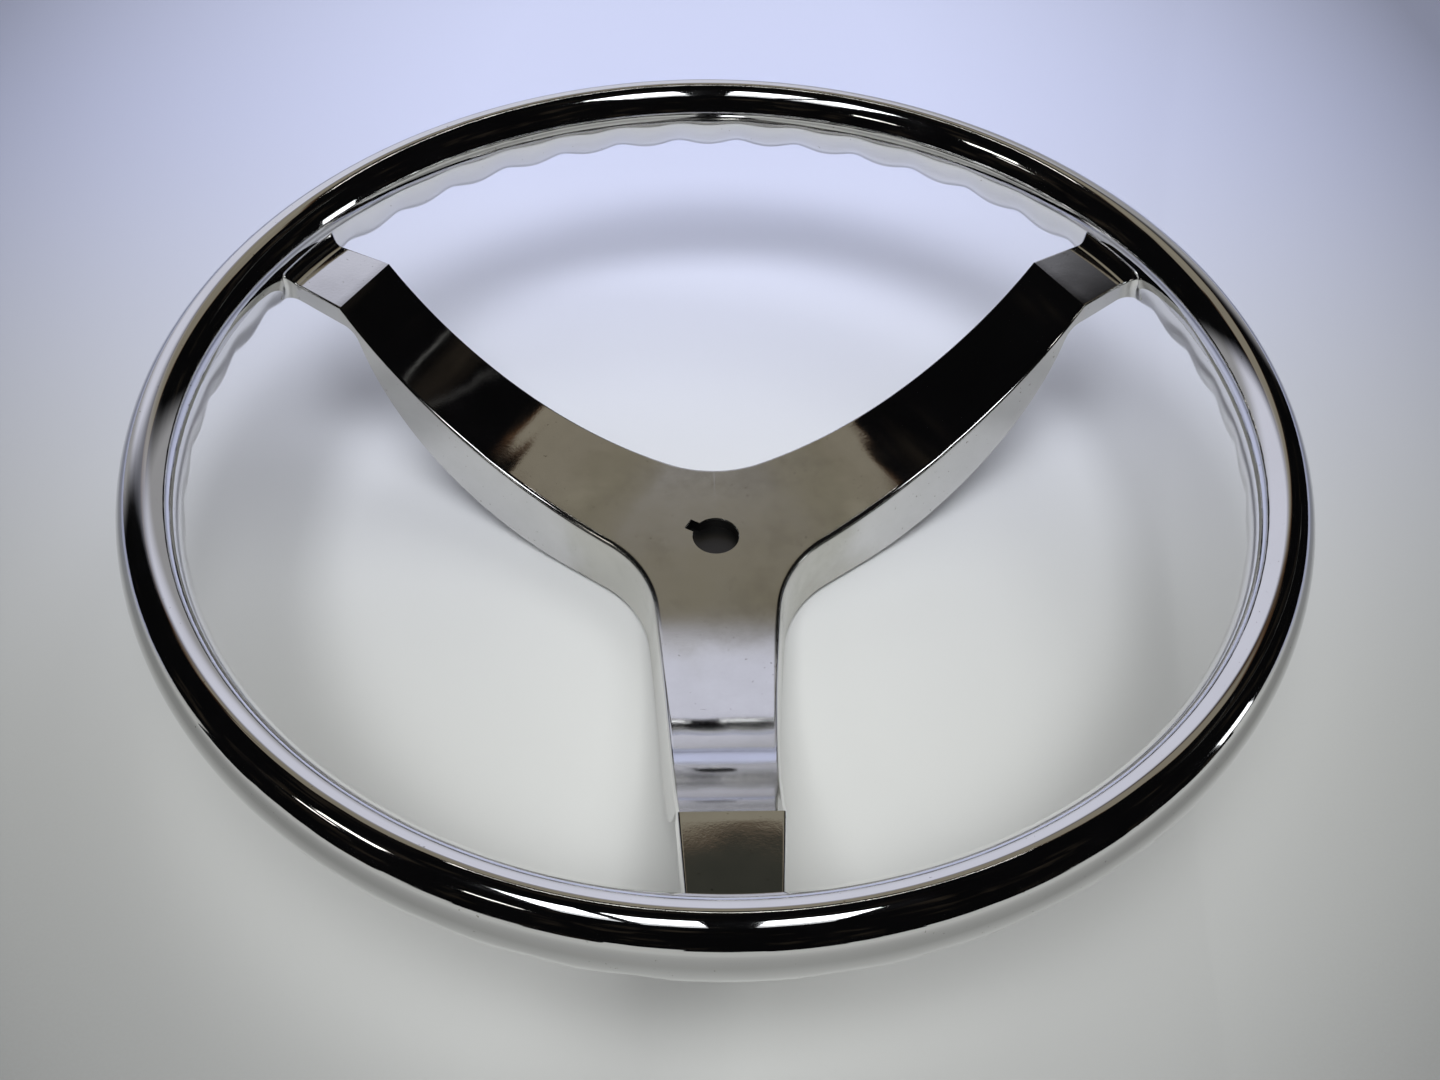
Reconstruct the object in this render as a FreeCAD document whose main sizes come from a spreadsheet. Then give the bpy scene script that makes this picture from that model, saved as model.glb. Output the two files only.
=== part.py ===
import FreeCAD, Part
import math
import os
import Sketcher

# Stainless boat steering wheel: a pressed oval tube bent into a ring, with finger grips on its
# underside, and a dished three spoke casting whose hub has a keyed taper bore.
# The wheel's axis is +Z, the driver's side is up, and the origin is the centre of the hub's
# lower face, which is also what the wheel rests on. One spoke points along -Y.

doc = FreeCAD.newDocument("boat_wheel")
V = FreeCAD.Vector
UP = V(0, 0, 1)
ORIGIN = V(0, 0, 0)

# Driving dimensions, in mm and degrees
SIZES = [
    ("wheel_diameter", 393.7, "outside diameter over the rim"),
    ("rim_width", 19.9, "rim section, across the wheel's face"),
    ("rim_height", 29.0, "rim section, along the wheel's axis"),
    ("rim_level", 87.4, "middle of the rim above the hub's lower face"),
    ("grip_depth", 2.6, "depth of a pressed finger groove"),
    ("grips_between", 14, "grooves between two spokes"),
    ("groove_softness", 0.35, "0 is a sharp groove, 1 is an even wave"),
    ("press_angle", 265.0, "direction of the press round the section"),
    ("press_spread", 1.25, "how fast a groove fades round the section"),
    ("spokes", 3, "number of spokes"),
    ("hub_height", 27.1, "hub's top face above its lower face"),
    ("hub_flat", 31.9, "radius where the spokes start to rise"),
    ("outer_length", 26.45, "from the sharp crease across a spoke to the rim's inner side"),
    ("crease_level", 84.7, "height of the crease"),
    ("crease_width", 30.0, "width of a spoke's top at the crease"),
    ("crease_depth", 7.2, "casting's depth under the crease"),
    ("root_level", 86.1, "height of a spoke's top where it reaches the rim"),
    ("root_width", 26.8, "width of a spoke's top where it reaches the rim"),
    ("root_depth", 6.2, "casting's depth at the rim"),
    ("root_sink", 2.2, "how far the blends run on into the rim"),
    ("root_blend", 9.0, "hollow blend from a spoke's top up to the rim"),
    ("root_flare", 1.4, "round from a spoke's side to the rim, at the hub's lower face"),
    ("skirt_lift", 2.4, "skirt's edge above the hub's lower face"),
    ("under_start", 50.0, "radius where the skirt's edge starts to rise"),
    ("knee_back", 6.8, "end of the skirt's deep part, inward of the crease"),
    ("knee_drop", 13.0, "end of the skirt's deep part, below the crease"),
    ("knee_round", 8.0, "small round under the crease"),
    ("fork_reach", 35.4, "axis to the hub's side between spokes, at the hub's lower face"),
    ("fork_round", 41.0, "round between two spokes, at the hub's lower face"),
    ("side_round", 716.0, "hollow of a spoke's sides"),
    ("draft", 5.07, "slope of the casting's side walls"),
    ("side_wall", 4.2, "thickness of the skirt"),
    ("top_wall", 5.0, "thickness under a spoke's top"),
    ("hollow_stop", 13.5, "from the end of the hollow under a spoke to the crease"),
    ("boss_diameter", 46.0, "hub boss"),
    ("bore_large", 19.05, "taper bore at the hub's lower face"),
    ("bore_small", 16.8, "taper bore at the hub's top face"),
    ("bore_bevel", 0.4, "bevel at the bore's upper mouth"),
    ("key_width", 4.76, "keyway's width"),
    ("key_reach", 11.8, "keyway's floor from the axis"),
]

sheet = doc.addObject("Spreadsheet::Sheet", "Sizes")
for row, (alias, value, note) in enumerate(SIZES, start=1):
    sheet.set("A%d" % row, alias)
    sheet.set("B%d" % row, str(value))
    sheet.setAlias("B%d" % row, alias)
    sheet.set("C%d" % row, note)
doc.recompute()


def size(alias):
    return float(sheet.get(alias))


RIM_RADIUS = (size("wheel_diameter") - size("rim_width")) / 2
SPOKE_STEP = 360.0 / size("spokes")
FIRST_SPOKE = 270.0
PITCHES = round(size("grips_between")) + 1
GRIP_PITCH = SPOKE_STEP / PITCHES
SECTION_POINTS = 7
TOUCH = 1e-6


def turned(shape, angle):
    copy = shape.copy()
    copy.rotate(ORIGIN, UP, angle)
    return copy


# Rim: an oval tube whose lower side was pressed into finger grips


def groove(step):
    """Share of the full depth at a step from the groove's middle, in pitches."""
    wave = math.sin(math.pi * step) ** 2
    soft = size("groove_softness") ** 2
    depth = 1 - math.sqrt((wave + soft) / (1 + soft))
    return depth / (1 - math.sqrt(soft / (1 + soft)))


def rim_point(turn, step, depth):
    """Point of the section at a turn round it (radians), a step along the rim from a groove."""
    half_width = size("rim_width") / 2
    half_height = size("rim_height") / 2
    out = half_width * math.cos(turn)
    up = half_height * math.sin(turn)
    facing = math.atan2(math.sin(turn) / half_height, math.cos(turn) / half_width)
    fade = max(0.0, math.cos(facing - math.radians(size("press_angle")))) ** size("press_spread")
    pressed = depth * groove(step) * fade
    out -= pressed * math.cos(facing)
    up -= pressed * math.sin(facing)
    along = math.radians(GRIP_PITCH * step)
    radius = RIM_RADIUS + out
    return V(radius * math.cos(along), radius * math.sin(along), size("rim_level") + up)


def half_section(start, step, depth):
    """Half of the section's outline, from start (radians) through half a turn."""
    marks = [index / (SECTION_POINTS - 1.0) for index in range(SECTION_POINTS)]
    curve = Part.BSplineCurve()
    places = [rim_point(start + math.pi * mark, step, depth) for mark in marks]
    curve.interpolate(Points=places, Parameters=marks)
    return curve.toShape()


def rim_walls(depth):
    """Walls of one pitch of the rim, lofted through its sections."""
    outlines = []
    for index in range(SECTION_POINTS):
        step = index / (SECTION_POINTS - 1.0) - 0.5
        upper = half_section(0, step, depth)
        lower = half_section(math.pi, step, depth)
        outlines.append(Part.Wire([upper, lower]))
    return Part.makeLoft(outlines, False, False, False).Faces


def make_rim():
    """The whole ring: a groove at every pitch, and a plain pitch at each spoke."""
    grip = rim_walls(size("grip_depth"))
    plain = rim_walls(0.0)
    walls = []
    for spoke in range(int(size("spokes"))):
        for pitch in range(PITCHES):
            angle = FIRST_SPOKE + SPOKE_STEP * spoke + GRIP_PITCH * pitch
            source = plain if pitch == 0 else grip
            walls += [turned(face, angle) for face in source]
    shell = Part.Shell(walls)
    shell.sewShape()
    solid = Part.Solid(shell)
    if solid.Volume < 0:
        solid.reverse()
    return solid


rim = doc.addObject("Part::Feature", "rim")
rim.Label = "rim"
rim.Shape = make_rim()
rim.Placement = FreeCAD.Placement()

# Spider: hub and spokes, cast in one piece


def value(text):
    answer = sheet.evalExpression(text)
    return float(getattr(answer, "Value", answer))


def point(place):
    across, upward = place
    return V(value(across), value(upward), 0)


def hold(sketch, constraint, text):
    """Adds a measured constraint that follows an expression."""
    number = sketch.addConstraint(constraint)
    sketch.setExpression("Constraints[%d]" % number, text)


def put(sketch, piece, end, place):
    """Holds an end of a piece at a place, given as two expressions."""
    for kind, text in zip(("DistanceX", "DistanceY"), place):
        hold(sketch, Sketcher.Constraint(kind, -1, 1, piece, end, value(text)), text)


def give_radius(sketch, piece, text):
    hold(sketch, Sketcher.Constraint("Radius", piece, value(text)), text)


def lead_through(sketch, piece, place):
    """Makes a straight piece run through a place."""
    mark = sketch.addGeometry(Part.Point(point(place)), True)
    put(sketch, mark, 1, place)
    sketch.addConstraint(Sketcher.Constraint("PointOnObject", mark, 1, piece))


def line(start, end):
    return Part.LineSegment(start, end)


def arc(centre, start, end):
    """Round from start to end, counter-clockwise about the centre."""
    first = math.atan2(start.y - centre.y, start.x - centre.x)
    last = math.atan2(end.y - centre.y, end.x - centre.x)
    if last < first:
        last += 2 * math.pi
    circle = Part.Circle(centre, UP, start.distanceToPoint(centre))
    return Part.ArcOfCircle(circle, first, last)


def draw(sketch, pieces, smooth):
    """Adds pieces in order and joins their ends; a joint listed in smooth is tangent."""
    for piece in pieces:
        sketch.addGeometry(piece, False)
    count = len(pieces)
    for one in range(count):
        other = (one + 1) % count
        for end in (1, 2):
            for far in (1, 2):
                gap = sketch.getPoint(one, end).distanceToPoint(sketch.getPoint(other, far))
                if gap < TOUCH:
                    kind = "Tangent" if one in smooth else "Coincident"
                    sketch.addConstraint(Sketcher.Constraint(kind, one, end, other, far))


def slid(start, along, centre, reach):
    """Start moved along a direction until it is at a reach from the centre."""
    away = start - centre
    ahead = away.dot(along)
    root = math.sqrt(ahead ** 2 - away.dot(away) + reach ** 2)
    return start + along * (root - ahead)


def new_sketch(body, label, role, turned_over=False):
    sketch = body.newObject("Sketcher::SketchObject", label)
    plane = next(f for f in body.Origin.OriginFeatures if f.Role == role)
    sketch.AttachmentSupport = (plane, [""])
    sketch.MapMode = "FlatFace"
    sketch.MapReversed = turned_over
    doc.recompute()
    return sketch


RIM_INSIDE = "(Sizes.wheel_diameter / 2 - Sizes.rim_width)"
CREASE_RADIUS = "(%s - Sizes.outer_length)" % RIM_INSIDE
UNDER_ACROSS = "(%s - Sizes.knee_back - Sizes.under_start)" % CREASE_RADIUS
UNDER_CLIMB = "(Sizes.crease_level - Sizes.knee_drop - Sizes.skirt_lift)"
UNDER_ROUND = "(%s ^ 2 + %s ^ 2) / (2 * %s)" % (UNDER_ACROSS, UNDER_CLIMB, UNDER_CLIMB)


def draw_side(sketch):
    """A spoke seen from the side, from the axis to the middle of the rim's tube."""
    rim_middle = "(Sizes.wheel_diameter - Sizes.rim_width) / 2"
    wall = RIM_INSIDE + " + Sizes.root_sink"
    axis_top = ("0", "Sizes.hub_height")
    hub_edge = ("Sizes.hub_flat", "Sizes.hub_height")
    crease = (CREASE_RADIUS, "Sizes.crease_level")
    root = (wall, "Sizes.root_level")
    inside_low = (rim_middle, "Sizes.root_level - Sizes.root_depth")
    under_crease = (CREASE_RADIUS, "Sizes.crease_level - Sizes.crease_depth")
    under_start = ("Sizes.under_start", "Sizes.skirt_lift")
    axis_low = ("0", "Sizes.skirt_lift")

    flat_end = point(hub_edge)
    top = point(crease)
    across = top.x - flat_end.x
    climb = top.y - flat_end.y
    top_centre = flat_end + V(0, (across ** 2 + climb ** 2) / (2 * climb), 0)

    blend = size("root_blend")
    outward = (point(root) - top).normalize()
    side = V(-outward.y, outward.x, 0)
    blend_centre = top + side * blend
    blend_centre += outward * ((value(wall) - blend - blend_centre.x) / outward.x)
    blend_low = blend_centre - side * blend
    blend_high = blend_centre + V(blend, 0, 0)
    inside_high = V(value(rim_middle), blend_high.y, 0)

    low = point(inside_low)
    inward = (point(under_crease) - low).normalize()
    down = V(-inward.y, inward.x, 0)
    knee = size("knee_round")
    under = value(UNDER_ROUND)
    under_centre = point(under_start) + V(0, under, 0)
    knee_centre = slid(low + down * knee, inward * -1, under_centre, under + knee)
    knee_start = knee_centre - down * knee
    knee_end = knee_centre + (under_centre - knee_centre).normalize() * knee

    pieces = [
        line(point(axis_top), flat_end),
        arc(top_centre, flat_end, top),
        line(top, blend_low),
        arc(blend_centre, blend_low, blend_high),
        line(blend_high, inside_high),
        line(inside_high, low),
        line(low, knee_start),
        arc(knee_centre, knee_start, knee_end),
        arc(under_centre, point(under_start), knee_end),
        line(point(under_start), point(axis_low)),
        line(point(axis_low), point(axis_top)),
    ]
    draw(sketch, pieces, smooth=(0, 2, 6, 7, 8))
    put(sketch, 0, 1, axis_top)
    put(sketch, 0, 2, hub_edge)
    put(sketch, 2, 1, crease)
    lead_through(sketch, 2, root)
    give_radius(sketch, 3, "Sizes.root_blend")
    sketch.addConstraint(Sketcher.Constraint("Horizontal", 3, 3, 3, 2))
    hold(sketch, Sketcher.Constraint("DistanceX", -1, 1, 3, 2, value(wall)), wall)
    sketch.addConstraint(Sketcher.Constraint("Horizontal", 4))
    put(sketch, 6, 1, inside_low)
    sketch.addConstraint(Sketcher.Constraint("Vertical", 5))
    lead_through(sketch, 6, under_crease)
    give_radius(sketch, 7, "Sizes.knee_round")
    give_radius(sketch, 8, UNDER_ROUND)
    put(sketch, 9, 1, under_start)
    put(sketch, 10, 1, axis_low)


HALF_GAP = "180 / Sizes.spokes"


def beside_spoke(along, aside):
    """Place in a gap's frame (gap along +Y), from a place along and beside its right spoke."""
    across = "(%s) * sin(%s) - (%s) * cos(%s)" % (along, HALF_GAP, aside, HALF_GAP)
    upward = "(%s) * cos(%s) + (%s) * sin(%s)" % (along, HALF_GAP, aside, HALF_GAP)
    return across, upward


def draw_gap(sketch, wall):
    """Gap between two spokes at the hub's lower face, grown by a wall's thickness."""
    lean = "tan(Sizes.draft)"
    crease_side = "Sizes.crease_width / 2 + %s * Sizes.crease_level - %s" % (lean, wall)
    root_side = "Sizes.root_width / 2 + %s * Sizes.root_level - %s" % (lean, wall)
    flare_at = RIM_INSIDE + " + Sizes.root_sink"
    flare_at += " - %s * Sizes.root_level + %s" % (lean, wall)
    fork = "Sizes.fork_round + %s" % wall
    side = "Sizes.side_round + %s" % wall
    flare = "Sizes.root_flare + %s" % wall
    fork_middle = ("0", "Sizes.fork_reach + Sizes.fork_round")
    crease = beside_spoke(CREASE_RADIUS, crease_side)
    root = beside_spoke(flare_at, root_side)
    flare_foot = beside_spoke(flare_at, "0")
    far = beside_spoke(flare_at, "Sizes.fork_reach * 1.2")

    fork_centre = point(fork_middle)
    crease_point = point(crease)
    reach = value(side) - value(fork)
    side_centre = crossing(fork_centre, reach, crease_point, value(side))
    fork_end = fork_centre + (fork_centre - side_centre).normalize() * value(fork)

    outward = (point(root) - crease_point).normalize()
    aside = V(-outward.y, outward.x, 0)
    stop = (point(far) - point(flare_foot)).normalize()
    ahead = V(stop.y, -stop.x, 0)
    radius = value(flare)
    flare_centre = crease_point + aside * radius
    short = (point(root) - flare_centre).dot(ahead) - radius
    flare_centre += outward * (short / outward.dot(ahead))
    flare_start = flare_centre - aside * radius
    flare_end = flare_centre + ahead * radius

    right = [
        arc(side_centre, fork_end, crease_point),
        line(crease_point, flare_start),
        arc(flare_centre, flare_start, flare_end),
        line(flare_end, point(far)),
    ]
    left = [
        line(mirrored(point(far)), mirrored(flare_end)),
        arc(mirrored(flare_centre), mirrored(flare_end), mirrored(flare_start)),
        line(mirrored(flare_start), mirrored(crease_point)),
        arc(mirrored(side_centre), mirrored(crease_point), mirrored(fork_end)),
    ]
    across = [line(point(far), mirrored(point(far)))]
    bottom = [arc(fork_centre, mirrored(fork_end), fork_end)]
    draw(sketch, bottom + right + across + left, smooth=(0, 2, 3, 6, 7, 9))
    put(sketch, 0, 3, fork_middle)
    give_radius(sketch, 0, fork)
    give_radius(sketch, 1, side)
    put(sketch, 1, 2, crease)
    lead_through(sketch, 2, root)
    give_radius(sketch, 3, flare)
    lead_through(sketch, 4, flare_foot)
    put(sketch, 4, 2, far)
    for one, one_end, other, other_end in ((1, 2, 9, 1), (2, 2, 8, 1), (4, 2, 6, 1)):
        sketch.addConstraint(Sketcher.Constraint("Symmetric", one, one_end, other, other_end, -2))
    sketch.addConstraint(Sketcher.Constraint("Equal", 1, 9))
    sketch.addConstraint(Sketcher.Constraint("Equal", 3, 7))


def mirrored(place):
    return V(-place.x, place.y, place.z)


def crossing(one, one_reach, other, other_reach):
    """The upper of the two places at given reaches from two centres."""
    apart = other - one
    span = apart.Length
    along = (one_reach ** 2 - other_reach ** 2 + span ** 2) / (2 * span)
    off = math.sqrt(one_reach ** 2 - along ** 2)
    ahead = apart.normalize()
    return one + ahead * along + V(-ahead.y, ahead.x, 0) * off


def patterned(body, feature, label):
    """The feature repeated about the wheel's axis, once for each spoke."""
    pattern = body.newObject("PartDesign::PolarPattern", label)
    pattern.Originals = [feature]
    axis = next(f for f in body.Origin.OriginFeatures if f.Role == "Z_Axis")
    pattern.Axis = (axis, [""])
    pattern.Angle = 360
    pattern.setExpression("Occurrences", "Sizes.spokes")
    body.Tip = pattern
    doc.recompute()
    return pattern


def make_spokes(label, draw_profile, wall):
    """Spokes padded from a side view, with the gaps between them cut away."""
    body = doc.addObject("PartDesign::Body", label)
    body.Label = label
    doc.recompute()
    side = new_sketch(body, label + "_side", "YZ_Plane", True)
    draw_profile(side)
    doc.recompute()
    pad = body.newObject("PartDesign::Pad", label + "_blank")
    pad.Profile = side
    pad.SideType = "Symmetric"
    pad.setExpression("Length", "Sizes.fork_reach * 2")
    doc.recompute()
    patterned(body, pad, label + "_blanks")
    gap = new_sketch(body, label + "_gap", "XY_Plane")
    draw_gap(gap, wall)
    gap.AttachmentOffset = FreeCAD.Placement(ORIGIN, FreeCAD.Rotation(UP, 180))
    gap.setExpression("AttachmentOffset.Rotation.Angle", "180 + %s" % HALF_GAP)
    doc.recompute()
    pocket = body.newObject("PartDesign::Pocket", label + "_gap_cut")
    pocket.Profile = gap
    pocket.Reversed = True
    pocket.setExpression("Length", "Sizes.rim_level + Sizes.rim_height")
    pocket.setExpression("TaperAngle", "Sizes.draft")
    doc.recompute()
    patterned(body, pocket, label + "_gaps")
    return body


def draw_hollow(sketch):
    """The hollow under a spoke, seen from the side: its ceiling follows the spoke's top."""
    below = "Sizes.skirt_lift - Sizes.top_wall"
    ceiling = "Sizes.hub_height - Sizes.top_wall"
    across = "(%s - Sizes.hub_flat)" % CREASE_RADIUS
    climb = "(Sizes.crease_level - Sizes.hub_height)"
    ceiling_round = "(%s ^ 2 + %s ^ 2) / (2 * %s) + Sizes.top_wall" % (across, climb, climb)
    axis_low = ("0", below)
    axis_top = ("0", ceiling)
    hub_edge = ("Sizes.hub_flat", ceiling)
    end = CREASE_RADIUS + " - Sizes.hollow_stop"
    end_low = (end, below)

    flat_end = point(hub_edge)
    radius = value(ceiling_round)
    out = value(end) - flat_end.x
    centre = flat_end + V(0, radius, 0)
    end_top = V(value(end), centre.y - math.sqrt(radius ** 2 - out ** 2), 0)
    pieces = [
        line(point(axis_top), flat_end),
        arc(centre, flat_end, end_top),
        line(end_top, point(end_low)),
        line(point(end_low), point(axis_low)),
        line(point(axis_low), point(axis_top)),
    ]
    draw(sketch, pieces, smooth=(0,))
    put(sketch, 0, 1, axis_top)
    put(sketch, 0, 2, hub_edge)
    give_radius(sketch, 1, ceiling_round)
    sketch.addConstraint(Sketcher.Constraint("Vertical", 2))
    put(sketch, 2, 2, end_low)
    put(sketch, 3, 2, axis_low)


def bind(thing, **sizes):
    """Ties a thing's properties to expressions; two underscores stand for a dot."""
    for name, text in sizes.items():
        thing.setExpression(name.replace("__", "."), text)


def primitive(kind, label, **sizes):
    thing = doc.addObject("Part::" + kind, label)
    bind(thing, **sizes)
    return thing


def cut(label, base, tool):
    thing = doc.addObject("Part::Cut", label)
    thing.Base = base
    thing.Tool = tool
    return thing


outside = make_spokes("spokes_and_hub", draw_side, "0")
hollow = make_spokes("hollows", draw_hollow, "Sizes.side_wall")
hollowed = cut("hollowed", outside, hollow)

boss = primitive("Cylinder", "boss", Radius="Sizes.boss_diameter / 2", Height="Sizes.hub_height")
casting = doc.addObject("Part::Fuse", "casting")
casting.Base = hollowed
casting.Tool = boss

OVER = "Sizes.top_wall"
SHRINK = "%s * (Sizes.bore_large - Sizes.bore_small) / Sizes.hub_height / 2" % OVER
taper = primitive(
    "Cone",
    "taper",
    Radius1="Sizes.bore_large / 2 + " + SHRINK,
    Radius2="Sizes.bore_small / 2 - " + SHRINK,
    Height="Sizes.hub_height + 2 * " + OVER,
    Placement__Base__z="-" + OVER,
)
mouth = primitive(
    "Cone",
    "mouth",
    Radius1="Sizes.bore_small / 2",
    Radius2="Sizes.bore_small / 2 + 2 * Sizes.bore_bevel",
    Height="2 * Sizes.bore_bevel",
    Placement__Base__z="Sizes.hub_height - Sizes.bore_bevel",
)
KEY_ANGLE = "270 - 360 / Sizes.spokes"
keyway = primitive(
    "Box",
    "keyway",
    Length="Sizes.key_reach",
    Width="Sizes.key_width",
    Height="Sizes.hub_height + 2 * " + OVER,
    Placement__Base__x="Sizes.key_width / 2 * sin(%s)" % KEY_ANGLE,
    Placement__Base__y="-Sizes.key_width / 2 * cos(%s)" % KEY_ANGLE,
    Placement__Base__z="-" + OVER,
    Placement__Rotation__Angle=KEY_ANGLE,
)
openings = doc.addObject("Part::MultiFuse", "bore_and_keyway")
openings.Shapes = [taper, mouth, keyway]
bored = cut("bored", casting, openings)
spider = cut("spider", bored, rim)
spider.Label = "spider"
doc.recompute()

for thing in doc.Objects:
    if "Invalid" in thing.State or "Error" in thing.State:
        raise RuntimeError("%s did not build: %s" % (thing.Name, thing.State))

os.makedirs("parts", exist_ok=True)
for part in (rim, spider):
    shape = part.Shape
    if shape.isNull() or not shape.isValid() or len(shape.Solids) != 1:
        raise RuntimeError("%s is not one sound solid" % part.Label)
    shape.exportStep("parts/%s.step" % part.Label)
    box = shape.BoundBox
    print(part.Label, "volume %.0f mm3" % shape.Volume, "faces", len(shape.Faces))
    print("  from", [round(v, 2) for v in (box.XMin, box.YMin, box.ZMin)])
    print("  to  ", [round(v, 2) for v in (box.XMax, box.YMax, box.ZMax)])
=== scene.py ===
# %% [markdown]
# # A polished stainless boat wheel
# This notebook dresses the steering wheel's engineering model for a photograph. The wheel is two
# pieces: an oval tube bent into a ring, and a dished three spoke casting that is welded to it.
# Both are rebuilt here as smooth surfaces from the same sizes, because a mirror finish shows
# every facet.

# %% Load the engineering model
import math
import bmesh
import bpy
import numpy as np
from mathutils import Matrix, Vector


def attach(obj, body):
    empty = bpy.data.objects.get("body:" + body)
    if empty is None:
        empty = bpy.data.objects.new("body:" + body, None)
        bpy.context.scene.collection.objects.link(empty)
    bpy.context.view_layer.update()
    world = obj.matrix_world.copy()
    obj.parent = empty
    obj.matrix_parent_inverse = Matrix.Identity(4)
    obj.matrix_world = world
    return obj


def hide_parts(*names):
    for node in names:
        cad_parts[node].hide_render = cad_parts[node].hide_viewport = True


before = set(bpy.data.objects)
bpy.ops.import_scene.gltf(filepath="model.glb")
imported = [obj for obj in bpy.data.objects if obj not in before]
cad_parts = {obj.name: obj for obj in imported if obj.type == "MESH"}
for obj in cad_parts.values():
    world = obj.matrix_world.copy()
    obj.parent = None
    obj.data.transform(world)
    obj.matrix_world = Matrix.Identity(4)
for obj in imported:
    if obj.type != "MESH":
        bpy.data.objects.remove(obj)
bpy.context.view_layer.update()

print("pieces in the model:", sorted(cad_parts))

# %% [markdown]
# ## Shared sizes
# The numbers are millimetres, as on a workshop drawing. One spoke points towards the camera's
# side, at 270 degrees, and the other two follow every 120 degrees. Between two spokes the rim has
# 14 finger grips, and at each spoke one pitch is left plain.

# %% Sizes of the rim
MM = 0.001
WHEEL_DIAMETER = 393.7
RIM_WIDTH = 19.9
RIM_HEIGHT = 29.0
RIM_LEVEL = 87.4
RIM_RADIUS = (WHEEL_DIAMETER - RIM_WIDTH) / 2
FIRST_SPOKE = 270.0
GRIPS_BETWEEN = 14
PITCHES = 3 * (GRIPS_BETWEEN + 1)
PITCH = 360.0 / PITCHES
print("rim radius %.1f mm, one grip every %.0f degrees" % (RIM_RADIUS, PITCH))

# %% [markdown]
# ## From points to a smooth piece
# A mesh is a list of points and a list of faces. Most faces here lie between the points of a
# grid, so one helper numbers the faces of a grid. Another welds all the grids of a piece, turns
# its faces outward and shades it smooth. It could be done by hand with Merge by Distance and
# Shade Smooth, but a helper does the same for both pieces.

# %% Mesh helpers
WELD_WITHIN = 2e-6
SLIVER_UNDER = 1e-6


def unit(v):
    return v / np.linalg.norm(v, axis=-1, keepdims=True)


def quads(start, rows, columns, wrap_rows=False, wrap_columns=False):
    """Faces of a grid of points that was stored row by row from a start number."""
    last_row = rows if wrap_rows else rows - 1
    last_column = columns if wrap_columns else columns - 1
    faces = []
    for i in range(last_row):
        for j in range(last_column):
            a = start + i * columns + j
            b = start + i * columns + (j + 1) % columns
            c = start + ((i + 1) % rows) * columns + (j + 1) % columns
            d = start + ((i + 1) % rows) * columns + j
            faces.append((a, b, c, d))
    return faces


def new_piece(name, points, faces, sharp_degrees):
    """A smooth shaded object from points in millimetres; welded, with sharp corners kept."""
    mesh = bpy.data.meshes.new(name)
    mesh.from_pydata((np.asarray(points) * MM).tolist(), [], faces)
    work = bmesh.new()
    work.from_mesh(mesh)
    bmesh.ops.remove_doubles(work, verts=work.verts, dist=WELD_WITHIN)
    bmesh.ops.dissolve_degenerate(work, edges=work.edges, dist=SLIVER_UNDER)
    bmesh.ops.recalc_face_normals(work, faces=work.faces)
    work.to_mesh(mesh)
    work.free()
    mesh.shade_smooth()
    mesh.set_sharp_from_angle(angle=math.radians(sharp_degrees))
    piece = bpy.data.objects.new(name, mesh)
    bpy.context.scene.collection.objects.link(piece)
    triangles = sum(len(face.vertices) - 2 for face in mesh.polygons)
    size = np.ptp(np.asarray(points), axis=0)
    print("%s: %d triangles, %.1f x %.1f x %.1f mm" % (name, triangles, *size))
    return piece


# %% [markdown]
# ## The rim
# The real rim is a round tube that was rolled oval, bent into a ring and pressed from below, so
# that the fingers find a groove every 8 degrees. It could be a torus with a row of cutters, but
# a cut leaves hard lips. So the surface is a formula: a point of the oval moves inward along its
# normal, most at the bottom of the section and in the middle of a groove.

# %% Build the rim
GRIP_DEPTH = 2.6
GROOVE_SOFTNESS = 0.35
PRESS_ANGLE = math.radians(265.0)
PRESS_SPREAD = 1.25
STEPS_PER_PITCH = 20
ROUND_STEPS = 72
NO_SHARP_EDGE = 180.0


def groove(step):
    """Share of the full depth, a step (in pitches) from a groove's middle."""
    soft = GROOVE_SOFTNESS ** 2
    depth = 1 - np.sqrt((np.sin(np.pi * step) ** 2 + soft) / (1 + soft))
    return depth / (1 - math.sqrt(soft / (1 + soft)))


def rim_surface():
    around = np.arange(PITCHES * STEPS_PER_PITCH)[:, None] / STEPS_PER_PITCH
    turn = np.arange(ROUND_STEPS)[None, :] * 2 * np.pi / ROUND_STEPS
    out = RIM_WIDTH / 2 * np.cos(turn)
    up = RIM_HEIGHT / 2 * np.sin(turn)
    facing = np.arctan2(np.sin(turn) / RIM_HEIGHT, np.cos(turn) / RIM_WIDTH)
    fade = np.maximum(0, np.cos(facing - PRESS_ANGLE)) ** PRESS_SPREAD
    nearest = np.round(around)
    pressed = np.where(nearest % (GRIPS_BETWEEN + 1) == 0, 0.0, groove(around - nearest))
    depth = GRIP_DEPTH * pressed * fade
    radius = RIM_RADIUS + out - depth * np.cos(facing)
    level = RIM_LEVEL + up - depth * np.sin(facing)
    angle = np.radians(FIRST_SPOKE + PITCH * around)
    return np.stack([radius * np.cos(angle), radius * np.sin(angle), level], -1)


rim_points = rim_surface()
rim_faces = quads(0, rim_points.shape[0], ROUND_STEPS, True, True)
rim = new_piece("polished_rim", rim_points.reshape(-1, 3), rim_faces, NO_SHARP_EDGE)

# %% [markdown]
# ## The casting, seen from the side
# Each spoke leaves the flat hub level, sweeps up in a hollow round, turns over a sharp crease
# and runs nearly level to the rim, where it blends up against the tube. Below, the skirt's edge
# follows a tighter round, so the spoke is deep in the middle and thin at the rim. It could be
# drawn as a curve, but here each line of the side view is worked out, so that its rounds are
# true arcs that touch.

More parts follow.
